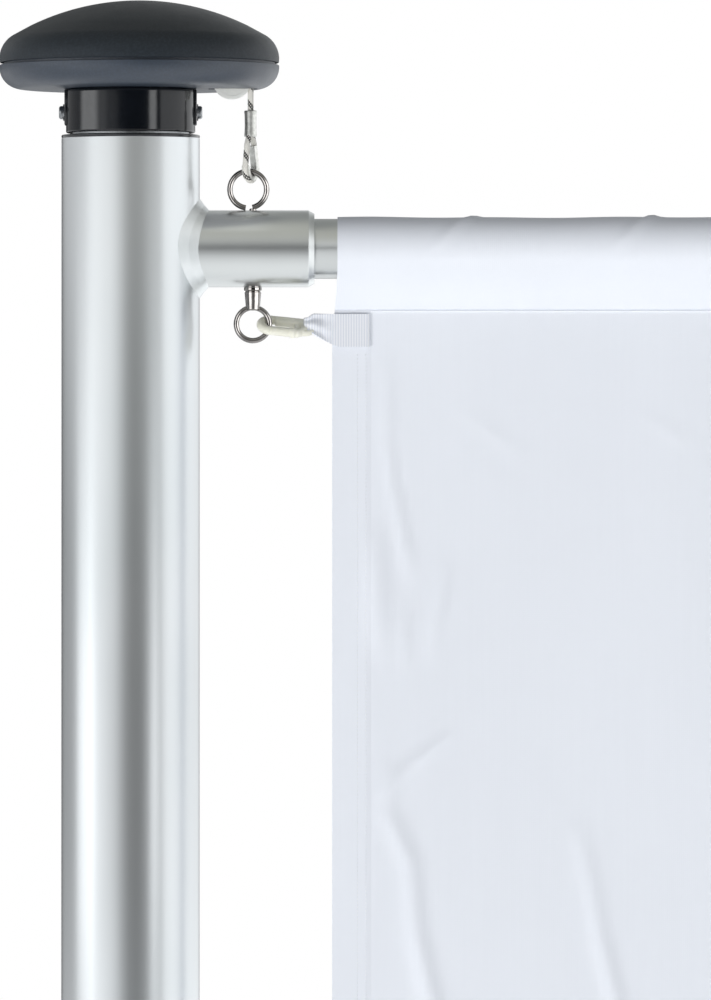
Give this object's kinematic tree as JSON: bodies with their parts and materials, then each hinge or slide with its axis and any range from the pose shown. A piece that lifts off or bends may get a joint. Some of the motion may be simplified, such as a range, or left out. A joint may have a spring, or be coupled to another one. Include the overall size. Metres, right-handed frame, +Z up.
{
  "type": "flagpole",
  "caption": "Free-standing flagpole with a hoistable, revolving horizontal arm that carries a plain hanging banner, under a mushroom-shaped revolving cap.",
  "frame": {"origin": "centre of the base flange's lower face, on the mast's axis at ground level", "axes": "+Z up along the mast, +X from the mast along the banner arm, -Y towards the face that holds the halyard door"},
  "size_m": [1.284, 0.25, 6.0015],
  "materials": {
    "anodised": "silver anodised, satin",
    "galvanised": "hot-dip galvanised",
    "stainless": "polished stainless steel",
    "cap_plastic": "satin moulded, charcoal",
    "neck_plastic": "turned, blue-black",
    "white_plastic": "moulded, white",
    "hook_plastic": "moulded, cream white",
    "rope": "braided polyester with dark flecks",
    "webbing": "ribbed polyester webbing",
    "banner": "plain white knitted polyester"
  },
  "bodies": {
    "mast": {"base_flange": "galvanised", "base_socket": "galvanised", "base_gussets": "galvanised", "clamp_screws": "stainless", "mast_tube": "anodised", "halyard_door": "anodised", "door_lock": "stainless", "halyard_cleat": "stainless", "halyard_rise": "rope", "cap_neck": "neck_plastic", "neck_screws": "stainless", "cap_retainer": "galvanised"},
    "head": {"cap_dish": "cap_plastic", "cap_dome": "cap_plastic", "sheave_bracket": "galvanised", "sheave_pins": "stainless", "inner_sheave": "white_plastic", "halyard_over": "rope", "halyard_drop": "rope"},
    "sheave": {"outer_sheave": "white_plastic"},
    "carriage": {"carriage_tube": "anodised", "top_bush": "neck_plastic", "bottom_bush": "neck_plastic", "arm_sleeve": "anodised", "sleeve_weld": "anodised", "banner_arm": "anodised", "arm_end_plug": "neck_plastic", "eye_bolt": "stainless", "ring_nut": "stainless", "halyard_eye": "rope", "halyard_legs": "rope", "thimble": "stainless", "rope_ferrule": "anodised", "snap_hook": "hook_plastic", "webbing_tab": "webbing", "banner_pocket": "banner", "banner_cloth": "banner"}
  },
  "joints": [
    {"name": "head_swivel", "type": "hinge", "parent": "mast", "child": "head", "pos_m": [0, 0, 5.95], "axis": [0, 0, 1], "continuous": true},
    {"name": "hoist", "type": "slide", "parent": "head", "child": "carriage", "axis": [0, 0, -1], "range_m": [0, 3.2], "deforming": ["halyard_drop"]},
    {"name": "sheave_spin", "type": "hinge", "parent": "head", "child": "sheave", "pos_m": [0.0658, 0, 5.95], "axis": [0, 1, 0], "continuous": true}
  ],
  "couplings": [
    {"joint": "sheave_spin", "follows": "hoist", "rad_per_m": 81.967}
  ]
}
